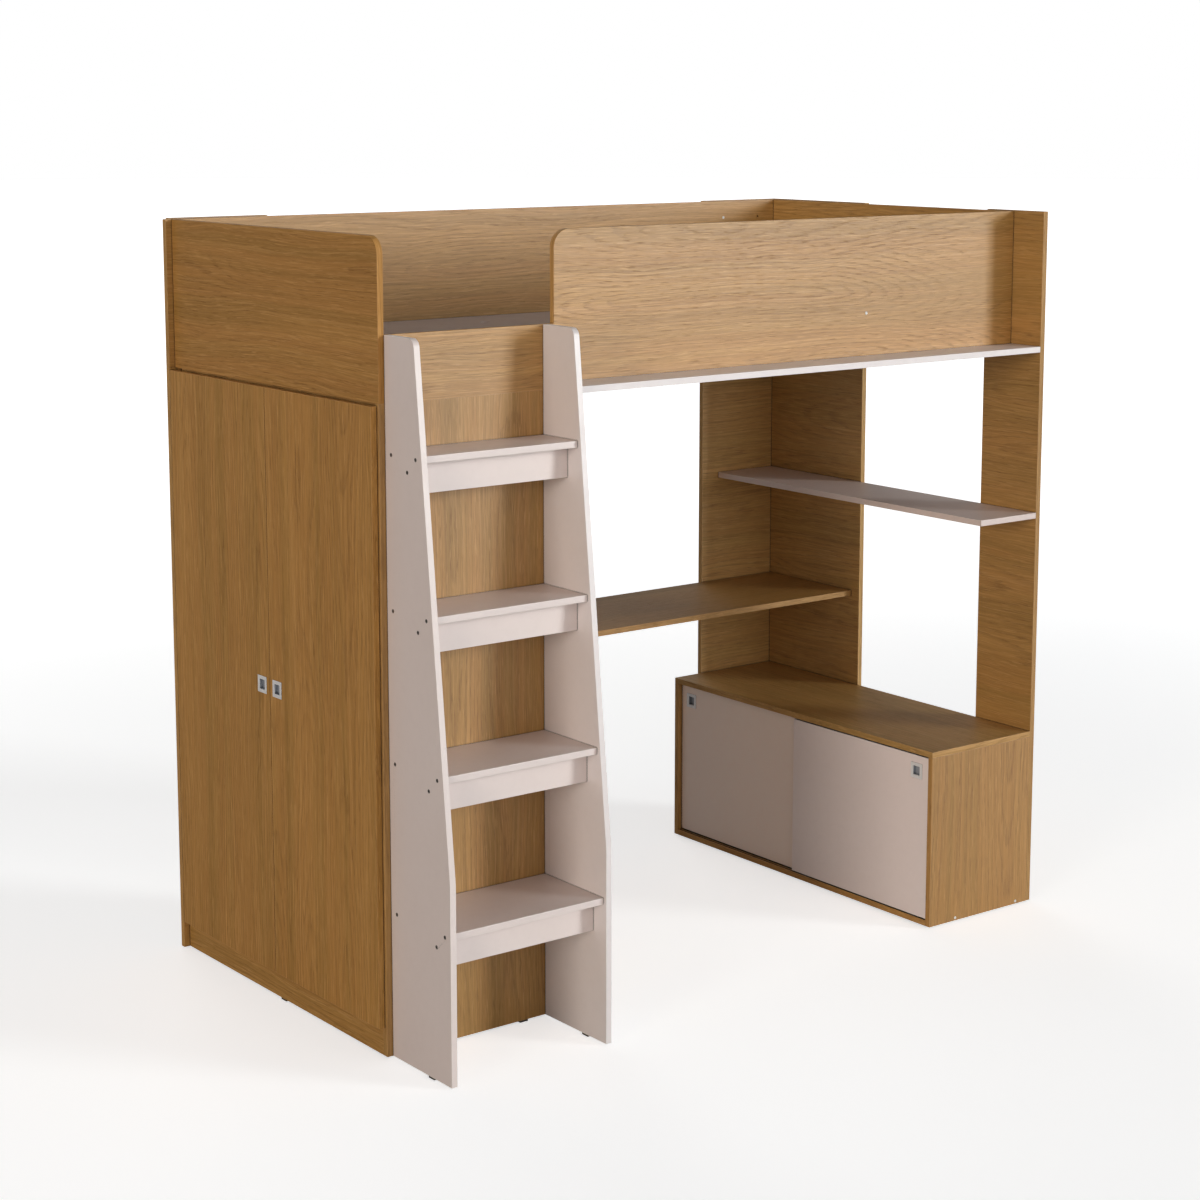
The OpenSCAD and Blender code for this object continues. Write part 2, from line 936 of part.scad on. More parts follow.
guard_left();
guard_right();
guard_back();
guard_front();
front_beam();
upright_back_left();
upright_back_right();
upright_end_rear();
upright_end_front();
deck_panel_left();
deck_panel_middle();
deck_panel_right();
deck_cleats();
deck_bearers();
stile_left();
stile_right();
tread_1();
tread_2();
tread_3();
tread_4();
riser_1();
riser_2();
riser_3();
riser_4();
ladder_screws();
screw_caps();
desk_top();
desk_rail();
open_shelf();
wardrobe_side_front();
wardrobe_side_rear();
wardrobe_back();
wardrobe_floor();
wardrobe_lid();
wardrobe_partition();
wardrobe_shelf_low();
wardrobe_shelf_high();
kick_board();
hanging_rail();
rail_sockets();
door_left();
door_right();
hinge_cups_left();
hinge_cups_right();
hinge_arms();
pull_left();
pull_right();
cabinet_top();
cabinet_floor();
cabinet_side_front();
cabinet_side_rear();
cabinet_back();
cabinet_divider();
sliding_door_front();
sliding_door_rear();
pull_slide_front();
pull_slide_rear();
glides_front();
glides_rear();
feet();
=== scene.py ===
"""Looks of the multifunction loft bed.

Oak decor boards, blush lacquered boards, steel and plastic fittings, all on the CAD nodes.
"""

import math

import bmesh
import bpy
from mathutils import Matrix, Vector


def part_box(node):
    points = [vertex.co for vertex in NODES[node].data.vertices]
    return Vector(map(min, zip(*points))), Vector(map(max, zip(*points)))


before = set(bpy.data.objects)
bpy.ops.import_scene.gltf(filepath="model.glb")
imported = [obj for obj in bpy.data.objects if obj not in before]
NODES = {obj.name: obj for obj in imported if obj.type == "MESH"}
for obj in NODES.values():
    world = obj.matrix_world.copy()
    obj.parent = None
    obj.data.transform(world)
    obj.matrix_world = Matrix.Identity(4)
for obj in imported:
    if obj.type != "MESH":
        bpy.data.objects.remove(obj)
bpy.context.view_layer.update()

# camera, fitted to the photograph: metres, radians, and millimetres for lens and sensor
CAMERA_AT = (-3.73995, -4.78561, 2.09569)
CAMERA_YAW = 0.65039
CAMERA_PITCH = 0.15277
CAMERA_LENS = 74.345
CAMERA_SENSOR = 36.0
CAMERA_SHIFT_UP = -0.10
CAMERA_REACH = 200.0

camera_data = bpy.data.cameras.new("camera")
camera_data.lens = CAMERA_LENS
camera_data.sensor_width = CAMERA_SENSOR
camera_data.shift_y = CAMERA_SHIFT_UP
camera_data.clip_end = CAMERA_REACH
camera = bpy.data.objects.new("camera", camera_data)
camera.location = CAMERA_AT
camera.rotation_euler = (math.pi / 2 - CAMERA_PITCH, 0.0, -CAMERA_YAW)
bpy.context.scene.collection.objects.link(camera)
bpy.context.scene.camera = camera
bpy.context.scene.view_settings.view_transform = "Standard"

X, Y, Z = 0, 1, 2
UNMOVED = (0.0, 0.0, 0.0)

# node trees: most helpers add one node and give back its output.
# Mix nodes are wired by number, because their sockets share their names.
MIX_FACTOR = 0
MIX_NUMBERS = (2, 3)
MIX_COLOURS = (6, 7)
MIXED_NUMBER = 0
MIXED_COLOUR = 2


def wire(tree, value, socket):
    """Puts a number, vector or socket on an input."""
    if isinstance(value, bpy.types.NodeSocket):
        tree.links.new(value, socket)
    else:
        socket.default_value = value


def calc(tree, operation, a, b=0.0, c=0.0):
    node = tree.nodes.new("ShaderNodeMath")
    node.operation = operation
    for value, socket in zip((a, b, c), node.inputs):
        wire(tree, value, socket)
    return node.outputs[0]


def vector_calc(tree, operation, a, b=UNMOVED):
    node = tree.nodes.new("ShaderNodeVectorMath")
    node.operation = operation
    wire(tree, a, node.inputs[0])
    wire(tree, b, node.inputs[1])
    return node.outputs["Value" if operation == "LENGTH" else "Vector"]


def split(tree, vector):
    node = tree.nodes.new("ShaderNodeSeparateXYZ")
    wire(tree, vector, node.inputs[0])
    return list(node.outputs)


def join(tree, x, y, z):
    node = tree.nodes.new("ShaderNodeCombineXYZ")
    for value, socket in zip((x, y, z), node.inputs):
        wire(tree, value, socket)
    return node.outputs[0]


def noise(tree, vector, scale, detail, roughness):
    node = tree.nodes.new("ShaderNodeTexNoise")
    wire(tree, vector, node.inputs["Vector"])
    node.inputs["Scale"].default_value = scale
    node.inputs["Detail"].default_value = detail
    node.inputs["Roughness"].default_value = roughness
    return node.outputs["Fac"]


def remap(tree, value, a0, a1, b0=0.0, b1=1.0, smooth=False):
    node = tree.nodes.new("ShaderNodeMapRange")
    node.interpolation_type = "SMOOTHSTEP" if smooth else "LINEAR"
    wire(tree, value, node.inputs["Value"])
    for name, number in zip(("From Min", "From Max", "To Min", "To Max"), (a0, a1, b0, b1)):
        wire(tree, number, node.inputs[name])
    return node.outputs["Result"]


def mix(tree, kind, sockets, factor, a, b):
    node = tree.nodes.new("ShaderNodeMix")
    node.data_type = kind
    wire(tree, factor, node.inputs[MIX_FACTOR])
    for value, socket in zip((a, b), sockets):
        wire(tree, value, node.inputs[socket])
    return node


def mix_colour(tree, factor, a, b):
    return mix(tree, "RGBA", MIX_COLOURS, factor, a, b).outputs[MIXED_COLOUR]


def mix_value(tree, factor, a, b):
    return mix(tree, "FLOAT", MIX_NUMBERS, factor, a, b).outputs[MIXED_NUMBER]


def new_group(name, inputs, outputs):
    tree = bpy.data.node_groups.new(name, "ShaderNodeTree")
    for kind, label in inputs:
        tree.interface.new_socket(name=label, in_out="INPUT", socket_type=kind)
    for kind, label in outputs:
        tree.interface.new_socket(name=label, in_out="OUTPUT", socket_type=kind)
    return tree, tree.nodes.new("NodeGroupInput"), tree.nodes.new("NodeGroupOutput")


def use_group(tree, group, **values):
    node = tree.nodes.new("ShaderNodeGroup")
    node.node_tree = group
    for name, value in values.items():
        wire(tree, value, node.inputs[name])
    return node


# levels that most of a noise pattern lies between
CLOUD_LEVELS = (0.3, 0.7)

# oak print: lengths in metres, colours in linear light
PLANK_WIDTH = 0.17
HEART_DEPTH = 0.11
RING_STEP = 0.0100
SWAY_WIDTH = 0.050
RIPPLE_WIDTH = 0.0045
OAK_HONEY = (0.520, 0.277, 0.075, 1.0)
OAK_STRAW = (0.405, 0.218, 0.053, 1.0)
OAK_ROSE = (0.490, 0.248, 0.066, 1.0)
OAK_BROWN = (0.245, 0.118, 0.027, 1.0)
OAK_LIGHT = (0.640, 0.370, 0.130, 1.0)
OAK_PORE = (0.140, 0.062, 0.016, 1.0)
OAK_WORN = (0.560, 0.310, 0.110, 1.0)

# each pattern: waves per metre along, across and through the grain, shift, detail, roughness
WOOD_PATTERNS = {
    "sway": ((1.5, 6.0, 2.0), UNMOVED, 2.0, 0.50),
    "ripple": ((8.0, 38.0, 20.0), (2.2, 6.1, 0.0), 2.0, 0.55),
    "depth": ((0.85, 2.4, 0.8), (3.7, 1.3, 0.0), 1.0, 0.35),
    "ragged": ((7.0, 190.0, 60.0), UNMOVED, 2.0, 0.60),
    "area": ((1.3, 6.0, 2.0), (9.1, 4.2, 0.0), 1.0, 0.50),
    "streak": ((1.5, 190.0, 60.0), UNMOVED, 3.0, 0.68),
    "thread": ((4.0, 420.0, 200.0), UNMOVED, 2.0, 0.60),
    "fine": ((24.0, 1150.0, 500.0), UNMOVED, 1.0, 0.50),
    "flecks": ((16.0, 420.0, 300.0), (0.9, 0.2, 0.0), 1.0, 0.50),
    "pores": ((30.0, 640.0, 500.0), (0.5, 0.5, 0.0), 1.0, 0.50),
    "bands": ((0.40, 12.0, 4.0), (5.5, 0.0, 2.0), 2.0, 0.55),
    "hue": ((0.30, 24.0, 4.0), (1.5, 8.0, 3.0), 2.0, 0.50),
    "scuff": ((28.0, 90.0, 90.0), UNMOVED, 3.0, 0.70),
    "pine_growth": ((0.8, 9.0, 9.0), UNMOVED, 1.0, 0.40),
    "pine_fibre": ((9.0, 320.0, 320.0), UNMOVED, 3.0, 0.60),
    "pine_knots": ((3.0, 12.0, 12.0), (4.0, 2.0, 7.0), 0.0, 0.50),
}
# low and high level of a pattern
HEART_LEVELS = (0.30, 0.72)
FLECK_LEVELS = (0.59, 0.66)
PORE_LEVELS = (0.57, 0.64)
BAND_LEVELS = (0.37, 0.63)
# low and high level of a pattern, and the share of ink or wear at each
ROSE_PATCHES = (0.44, 0.60, 0.0, 0.75)
DARK_STREAKS = (0.49, 0.65, 0.0, 0.24)
LIGHT_STREAKS = (0.47, 0.32, 0.0, 0.36)
DARK_THREADS = (0.49, 0.68, 0.0, 0.34)
DARK_FIBRES = (0.45, 0.75, 0.0, 0.18)
RING_AREAS = (0.36, 0.56, 0.15, 1.0)
SCUFF_WEAR = (0.35, 0.75, 0.25, 0.75)
PORES_BY_RING = (0.0, 0.5, 0.40, 1.0)
RING_SHARE = 0.34
FLECK_SHARE = 0.42
PORE_SHARE = 0.36
# where in a growth ring, from 0 to 1, it starts to darken and where it breaks off
LATE_WOOD_START = 0.45
RING_END = 0.92
# how many ring widths the ragged pattern moves the rings by
RING_RAGGED = 0.55
# metres from an edge at which the wear starts to fade and is gone
OAK_WEAR = (0.0004, 0.0022)
# roughness of the bare print, and what streaks and pores add and wear takes away
OAK_ROUGH = 0.36
ROUGH_STREAKS = 0.14
ROUGH_PORES = 0.16
WORN_POLISH = 0.10
# shares in the relief
RELIEF_THREADS = 0.5
RELIEF_FIBRES = 0.3
RELIEF_PORES = 0.9

OAK_BUMP = (0.35, 0.0004)
SURFACE_OUTPUTS = [
    ("NodeSocketColor", "Colour"), ("NodeSocketFloat", "Rough"), ("NodeSocketFloat", "Height"),
]


def edge_group():
    """Distance in metres from a point on a board's surface to the board's nearest edge."""
    tree, given, out = new_group(
        "edge_distance",
        [("NodeSocketVector", "Point"), ("NodeSocketVector", "Low"), ("NodeSocketVector", "High")],
        [("NodeSocketFloat", "Distance")],
    )
    below = vector_calc(tree, "SUBTRACT", given.outputs["Point"], given.outputs["Low"])
    above = vector_calc(tree, "SUBTRACT", given.outputs["High"], given.outputs["Point"])
    near = vector_calc(tree, "ABSOLUTE", vector_calc(tree, "MINIMUM", below, above))
    x, y, z = split(tree, near)
    least = calc(tree, "MINIMUM", calc(tree, "MINIMUM", x, y), z)
    most = calc(tree, "MAXIMUM", calc(tree, "MAXIMUM", x, y), z)
    total = calc(tree, "ADD", calc(tree, "ADD", x, y), z)
    middle = calc(tree, "SUBTRACT", calc(tree, "SUBTRACT", total, least), most)
    wire(tree, middle, out.inputs["Distance"])
    return tree


def wood_pattern(tree, vector, name):
    """Noise drawn out along the grain, which vector has as its x."""
    waves, shift, detail, roughness = WOOD_PATTERNS[name]
    scaled = vector_calc(tree, "MULTIPLY", vector, waves)
    return noise(tree, vector_calc(tree, "ADD", scaled, shift), 1.0, detail, roughness)


def oak_group():
    """Printed oak: arched growth rings, streaks, pores and bands of tone along x."""
    tree, given, out = new_group(
        "oak_print",
        [("NodeSocketVector", "Grain"), ("NodeSocketFloat", "Edge"), ("NodeSocketVector", "Tone")],
        SURFACE_OUTPUTS,
    )
    flat = given.outputs["Grain"]
    u, v, w = split(tree, flat)
    sway = wood_pattern(tree, flat, "sway")
    ripple = wood_pattern(tree, flat, "ripple")
    bent = calc(tree, "MULTIPLY_ADD", sway, SWAY_WIDTH, v)
    bent = calc(tree, "MULTIPLY_ADD", ripple, RIPPLE_WIDTH, bent)
    g = join(tree, u, bent, w)

    off_heart = calc(tree, "PINGPONG", bent, PLANK_WIDTH / 2)
    depth = wood_pattern(tree, flat, "depth")
    depth = remap(tree, depth, *HEART_LEVELS, 0.0, HEART_DEPTH)
    off_squared = calc(tree, "POWER", off_heart, 2.0)
    depth_squared = calc(tree, "POWER", depth, 2.0)
    radius = calc(tree, "SQRT", calc(tree, "ADD", off_squared, depth_squared))
    ragged = wood_pattern(tree, g, "ragged")
    rings = calc(tree, "DIVIDE", radius, RING_STEP)
    rings = calc(tree, "MULTIPLY_ADD", ragged, RING_RAGGED, rings)
    turn = calc(tree, "FRACT", rings)
    late = remap(tree, turn, LATE_WOOD_START, RING_END, 0.0, 1.0, smooth=True)
    fall = remap(tree, turn, RING_END, 1.0, 1.0, 0.0, smooth=True)
    area = wood_pattern(tree, flat, "area")
    ring = calc(tree, "MULTIPLY", late, fall)
    ring = calc(tree, "MULTIPLY", ring, remap(tree, area, *RING_AREAS))

    streak = wood_pattern(tree, g, "streak")
    thread = wood_pattern(tree, g, "thread")
    fine = wood_pattern(tree, g, "fine")
    flecks = wood_pattern(tree, g, "flecks")
    flecks = remap(tree, flecks, *FLECK_LEVELS, smooth=True)
    pores = wood_pattern(tree, g, "pores")
    pores = remap(tree, pores, *PORE_LEVELS, smooth=True)
    pores = calc(tree, "MULTIPLY", pores, remap(tree, ring, *PORES_BY_RING))
    bands = wood_pattern(tree, g, "bands")
    hue = wood_pattern(tree, g, "hue")

    colour = mix_colour(tree, remap(tree, bands, *BAND_LEVELS), OAK_HONEY, OAK_STRAW)
    colour = mix_colour(tree, remap(tree, hue, *ROSE_PATCHES), colour, OAK_ROSE)
    colour = mix_colour(tree, calc(tree, "MULTIPLY", ring, RING_SHARE), colour, OAK_BROWN)
    colour = mix_colour(tree, remap(tree, streak, *DARK_STREAKS), colour, OAK_BROWN)
    colour = mix_colour(tree, remap(tree, streak, *LIGHT_STREAKS), colour, OAK_LIGHT)
    colour = mix_colour(tree, remap(tree, thread, *DARK_THREADS), colour, OAK_BROWN)
    colour = mix_colour(tree, remap(tree, fine, *DARK_FIBRES), colour, OAK_BROWN)
    colour = mix_colour(tree, calc(tree, "MULTIPLY", flecks, FLECK_SHARE), colour, OAK_LIGHT)
    colour = mix_colour(tree, calc(tree, "MULTIPLY", pores, PORE_SHARE), colour, OAK_PORE)
    worn = remap(tree, given.outputs["Edge"], *OAK_WEAR, 1.0, 0.0, smooth=True)
    scuff = wood_pattern(tree, flat, "scuff")
    worn = calc(tree, "MULTIPLY", worn, remap(tree, scuff, *SCUFF_WEAR))
    colour = mix_colour(tree, worn, colour, OAK_WORN)
    wire(tree, vector_calc(tree, "MULTIPLY", colour, given.outputs["Tone"]), out.inputs["Colour"])

    rough = calc(tree, "MULTIPLY_ADD", streak, ROUGH_STREAKS, OAK_ROUGH)
    rough = calc(tree, "MULTIPLY_ADD", pores, ROUGH_PORES, rough)
    rough = calc(tree, "SUBTRACT", rough, calc(tree, "MULTIPLY", worn, WORN_POLISH))
    wire(tree, rough, out.inputs["Rough"])
    height = calc(tree, "MULTIPLY", fine, RELIEF_FIBRES)
    height = calc(tree, "MULTIPLY_ADD", thread, RELIEF_THREADS, height)
    height = calc(tree, "SUBTRACT", height, calc(tree, "MULTIPLY", pores, RELIEF_PORES))
    wire(tree, height, out.inputs["Height"])
    return tree


# blush lacquer: colours in linear light
BLUSH_BASE = (0.805, 0.702, 0.668, 1.0)
BLUSH_WARM = (0.785, 0.676, 0.640, 1.0)
BLUSH_MOTTLE = (0.735, 0.632, 0.598, 1.0)
BLUSH_WORN = (0.90, 0.83, 0.79, 1.0)
# scale, detail and roughness of each pattern
BLUSH_CLOUD = (3.1, 3.0, 0.5)
BLUSH_SPECKS = (46.0, 3.0, 0.6)
ORANGE_PEEL = (620.0, 2.0, 0.5)
HANDLING = (9.0, 4.0, 0.7)
# low and high level of a pattern, and the result at each
SPECK_INK = (0.45, 0.8, 0.0, 0.30)
WEAR_BY_HANDLING = (0.35, 0.7, 0.35, 0.9)
ROUGH_BY_HANDLING = (0.35, 0.75, 0.34, 0.48)
ROUGH_SPECKS = 0.05
RELIEF_SPECKS = 0.6
# metres from an edge at which the wear starts to fade and is gone
BLUSH_WEAR = (0.0003, 0.0020)

BLUSH_BUMP = (0.16, 0.0002)


def lacquer_group():
    """Satin blush lacquer: faint mottling, orange peel, rubbed edges, light handling marks."""
    tree, given, out = new_group(
        "blush_print",
        [("NodeSocketVector", "Point"), ("NodeSocketFloat", "Edge"), ("NodeSocketVector", "Tone")],
        SURFACE_OUTPUTS,
    )
    p = given.outputs["Point"]
    cloud = noise(tree, p, *BLUSH_CLOUD)
    specks = noise(tree, p, *BLUSH_SPECKS)
    peel = noise(tree, p, *ORANGE_PEEL)
    marks = noise(tree, p, *HANDLING)
    colour = mix_colour(tree, remap(tree, cloud, *CLOUD_LEVELS), BLUSH_BASE, BLUSH_WARM)
    colour = mix_colour(tree, remap(tree, specks, *SPECK_INK), colour, BLUSH_MOTTLE)
    worn = remap(tree, given.outputs["Edge"], *BLUSH_WEAR, 1.0, 0.0, smooth=True)
    worn = calc(tree, "MULTIPLY", worn, remap(tree, marks, *WEAR_BY_HANDLING))
    colour = mix_colour(tree, worn, colour, BLUSH_WORN)
    wire(tree, vector_calc(tree, "MULTIPLY", colour, given.outputs["Tone"]), out.inputs["Colour"])
    rough = remap(tree, marks, *ROUGH_BY_HANDLING)
    rough = calc(tree, "ADD", rough, calc(tree, "MULTIPLY", specks, ROUGH_SPECKS))
    wire(tree, rough, out.inputs["Rough"])
    height = calc(tree, "ADD", peel, calc(tree, "MULTIPLY", specks, RELIEF_SPECKS))
    wire(tree, height, out.inputs["Height"])
    return tree


EDGE = edge_group()
OAK = oak_group()
BLUSH = lacquer_group()


def start_material(name):
    """A new material, its node tree, its shader and its texture coordinates."""
    material = bpy.data.materials.new(name)
    material.use_nodes = True
    tree = material.node_tree
    tree.nodes.clear()
    shader = tree.nodes.new("ShaderNodeBsdfPrincipled")
    output = tree.nodes.new("ShaderNodeOutputMaterial")
    tree.links.new(shader.outputs[0], output.inputs[0])
    place = tree.nodes.new("ShaderNodeTexCoord")
    return material, tree, shader, place


def bump(tree, shader, height, strength, distance):
    """Relief from a height pattern, by its strength and its depth in metres."""
    node = tree.nodes.new("ShaderNodeBump")
    node.inputs["Strength"].default_value = strength
    node.inputs["Distance"].default_value = distance
    wire(tree, height, node.inputs["Height"])
    wire(tree, node.outputs[0], shader.inputs["Normal"])


def edge_of(tree, place, node_name):
    lo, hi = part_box(node_name)
    found = use_group(tree, EDGE, Point=place, Low=tuple(lo), High=tuple(hi))
    return found.outputs["Distance"]


# painted shade from ambient occlusion: how far in metres it darkens the boards next to a joint or
# gap, and the tone left at its darkest
BOARD_PAINTED_SHADE = (0.005, 0.20)
DOOR_PAINTED_SHADE = (0.011, 0.04)
PULL_PAINTED_SHADE = (0.006, 0.25)
PAINTED_SHADE_SAMPLES = 6
# levels of ambient occlusion that count as deep in a joint and as open
PAINTED_SHADE_LEVELS = (0.38, 0.86)
# the cabinet's sliding doors and the boards above and below them, whose gaps get a wider and
# darker painted shade
DEEP_PAINTED_SHADE_BOARDS = ["sliding_door_front", "sliding_door_rear", "cabinet_top", "cabinet_floor"]
PLAIN = (1.0, 1.0, 1.0)
# specular levels
OAK_SHEEN = 0.72
MATT_SHEEN = 0.30
BLUSH_SHEEN = 0.80
# where a pattern starts on the first board, and how far it moves on for each next one
OAK_START = (0.37, 0.11, 0.0)
OAK_STEP = (1.93, 0.71, 0.29)
BLUSH_STEP = (0.7, 1.3, 0.4)
PINE_START = (0.0, 0.0, 0.2)
PINE_STEP = (1.1, 0.6, 0.0)
# a board's own tone lies in this narrow range, spread evenly by the golden ratio
TONE_LOW = 0.97
TONE_RANGE = 0.06
GOLDEN = 0.618
# edge bands are a little lighter and rougher than the faces
BAND_TONE = 0.04
BAND_ROUGH = 0.25
# a normal's share along the grain over which a spot lies on a board's end,
# and its share along the thickness under which it lies on an edge band
END_NORMAL = 0.6
BAND_NORMAL = 0.5


def painted_joint_shade(tree, reach, darkest):
    """Painted shade from ambient occlusion: one in the open, lower in the thin corners and gaps
    where pieces meet.
    """
    node = tree.nodes.new("ShaderNodeAmbientOcclusion")
    node.samples = PAINTED_SHADE_SAMPLES
    node.inputs["Distance"].default_value = reach
    return remap(tree, node.outputs["AO"], *PAINTED_SHADE_LEVELS, darkest, 1.0, smooth=True)


def painted_gap_shade(tree, node_name):
    """Painted shade in a board's joints and gaps, wider and darker around the cabinet's sliding
    doors.
    """
    return painted_joint_shade(tree, *(DOOR_PAINTED_SHADE if node_name in DEEP_PAINTED_SHADE_BOARDS else BOARD_PAINTED_SHADE))


def tinted(tree, shade, tint):
    """A grey level times a fixed tint."""
    return vector_calc(tree, "MULTIPLY", join(tree, shade, shade, shade), tint)


def shifted(tree, vector, start, step, seed):
    """Moves a pattern on by the board's number, so that no two boards look alike."""
    moved = tuple(first + more * seed for first, more in zip(start, step))
    return vector_calc(tree, "ADD", vector, moved)


def oak_material(node_name, grain, seed, tint, sheen):
    """Oak for one board: the print runs along the axis grain, and on the ends along the band."""
    material, tree, shader, place = start_material("oak_decor." + node_name)
    lo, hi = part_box(node_name)
    size = [hi[i] - lo[i] for i in range(3)]
    thick = min((i for i in range(3) if i != grain), key=lambda i: size[i])
    across = X + Y + Z - grain - thick
    parts = split(tree, place.outputs["Object"])
    face = split(tree, place.outputs["Normal"])
    on_end = calc(tree, "GREATER_THAN", calc(tree, "ABSOLUTE", face[grain]), END_NORMAL)
    u = mix_value(tree, on_end, parts[grain], parts[across])
    v = mix_value(tree, on_end, parts[across], parts[thick])
    vector = shifted(tree, join(tree, u, v, parts[thick]), OAK_START, OAK_STEP, seed)
    band = calc(tree, "LESS_THAN", calc(tree, "ABSOLUTE", face[thick]), BAND_NORMAL)
    own = TONE_LOW + TONE_RANGE * ((seed * GOLDEN) % 1.0)
    # painted shade in the board's joints and gaps, times the board's own tone
    shade = painted_gap_shade(tree, node_name)
    level = calc(tree, "MULTIPLY_ADD", band, BAND_TONE * own, own)
    shade = calc(tree, "MULTIPLY", shade, level)
    edge = edge_of(tree, place.outputs["Object"], node_name)
    look = use_group(tree, OAK, Grain=vector, Edge=edge, Tone=tinted(tree, shade, tint))
    wire(tree, look.outputs["Colour"], shader.inputs["Base Color"])
    rough = calc(tree, "MULTIPLY_ADD", band, BAND_ROUGH, look.outputs["Rough"])
    wire(tree, rough, shader.inputs["Roughness"])
    shader.inputs["Specular IOR Level"].default_value = sheen
    bump(tree, shader, look.outputs["Height"], *OAK_BUMP)
    return material


def blush_material(node_name, seed, tint):
    """Blush lacquer for one board."""
    material, tree, shader, place = start_material("blush_lacquer." + node_name)
    point = shifted(tree, place.outputs["Object"], UNMOVED, BLUSH_STEP, seed)
    edge = edge_of(tree, place.outputs["Object"], node_name)
    # painted shade in the board's joints and gaps, times the tint
    tone = tinted(tree, painted_gap_shade(tree, node_name), tint)
    look = use_group(tree, BLUSH, Point=point, Edge=edge, Tone=tone)
    wire(tree, look.outputs["Colour"], shader.inputs["Base Color"])
    wire(tree, look.outputs["Rough"], shader.inputs["Roughness"])
    shader.inputs["Specular IOR Level"].default_value = BLUSH_SHEEN
    bump(tree, shader, look.outputs["Height"], *BLUSH_BUMP)
    return material


# pine: colours in linear light
PINE_BASE = (0.70, 0.50, 0.27, 1.0)
PINE_RING = (0.52, 0.31, 0.13, 1.0)
PINE_FIBRE = (0.50, 0.32, 0.15, 1.0)
PINE_KNOT = (0.20, 0.10, 0.04, 1.0)
PINE_RINGS = 16.0
PINE_LATE_WOOD = (0.5, 0.95)
PINE_KNOT_LEVELS = (0.73, 0.80)
PINE_RING_SHARE = 0.45
PINE_KNOT_SHARE = 0.7
# low and high level of the fibres, and the share of ink or the roughness at each
PINE_FIBRES = (0.4, 0.8, 0.0, 0.35)
PINE_ROUGH = (0.2, 0.8, 0.50, 0.68)
PINE_BUMP = (0.4, 0.0004)


def pine_material(node_name, seed):
    """Planed pine for the bearers and cleats under the deck."""
    material, tree, shader, place = start_material("pine." + node_name)
    parts = split(tree, place.outputs["Object"])
    grain, across = (Y, X) if node_name == "deck_bearers" else (X, Y)
    vector = join(tree, parts[grain], parts[across], parts[Z])
    vector = shifted(tree, vector, PINE_START, PINE_STEP, seed)
    rings = calc(tree, "MULTIPLY", wood_pattern(tree, vector, "pine_growth"), PINE_RINGS)
    ring = remap(tree, calc(tree, "FRACT", rings), *PINE_LATE_WOOD, smooth=True)
    fibre = wood_pattern(tree, vector, "pine_fibre")
    knots = wood_pattern(tree, vector, "pine_knots")
    knots = remap(tree, knots, *PINE_KNOT_LEVELS, smooth=True)
    colour = mix_colour(tree, calc(tree, "MULTIPLY", ring, PINE_RING_SHARE), PINE_BASE, PINE_RING)
    colour = mix_colour(tree, remap(tree, fibre, *PINE_FIBRES), colour, PINE_FIBRE)
    colour = mix_colour(tree, calc(tree, "MULTIPLY", knots, PINE_KNOT_SHARE), colour, PINE_KNOT)
    wire(tree, colour, shader.inputs["Base Color"])
    wire(tree, remap(tree, fibre, *PINE_ROUGH), shader.inputs["Roughness"])
    bump(tree, shader, fibre, *PINE_BUMP)
    return material


# pulls: colours in linear light, depths in metres behind the frame's face
PULL_RIM = (0.95, 0.95, 0.96, 1.0)
PULL_RIM_CLOUD = (0.88, 0.89, 0.91, 1.0)
PULL_RECESS = (0.34, 0.37, 0.42, 1.0)
PULL_GRIME = (0.30, 0.31, 0.34, 1.0)
RECESS_DEPTHS = (0.0006, 0.0020)
PULL_ROUGH = (0.26, 0.40)
PULL_METALLIC = 0.25
PULL_SOILED = 0.35
# waves per metre of brushed lines, across them and along them, then detail and roughness
BRUSH_ACROSS = 900.0
BRUSH_ALONG = 18.0
BRUSH_NOISE = (3.0, 0.6)
# scale, detail and roughness of each pattern
METAL_CLOUD = (60.0, 3.0, 0.55)
PLASTIC_CLOUD = (70.0, 3.0, 0.6)
PLASTIC_SKIN = (1500.0, 2.0, 0.6)
SOILING_NOISE = (4.0, 0.7)
# scale of the patches, their low and high level, and their strength
METAL_GRIME = (210.0, 0.52, 0.78, 0.5)
PLASTIC_SCUFFS = (260.0, 0.5, 0.8, 0.6)
# shares of the darker colour in clouds and in soiled patches
METAL_CLOUDED = 0.6
METAL_SOILED = 0.5
PLASTIC_CLOUDED = 0.5
PLASTIC_SOILED = 0.35
METAL_SOILED_ROUGH = 0.12
METAL_BUMP = (0.25, 0.00008)
PLASTIC_BUMP = (0.2, 0.00008)


def brushed_lines(tree, point, axis):
    """Fine lines along an axis, or plain specks where axis is None."""
    scale = [BRUSH_ACROSS] * 3
    if axis is not None:
        scale[axis] = BRUSH_ALONG
    return noise(tree, vector_calc(tree, "MULTIPLY", point, tuple(scale)), 1.0, *BRUSH_NOISE)


def soiling(tree, point, scale, low, high, most):
    """Patches of grime or scuffs, from none to most."""
    patches = noise(tree, point, scale, *SOILING_NOISE)
    return remap(tree, patches, low, high, 0.0, most, smooth=True)


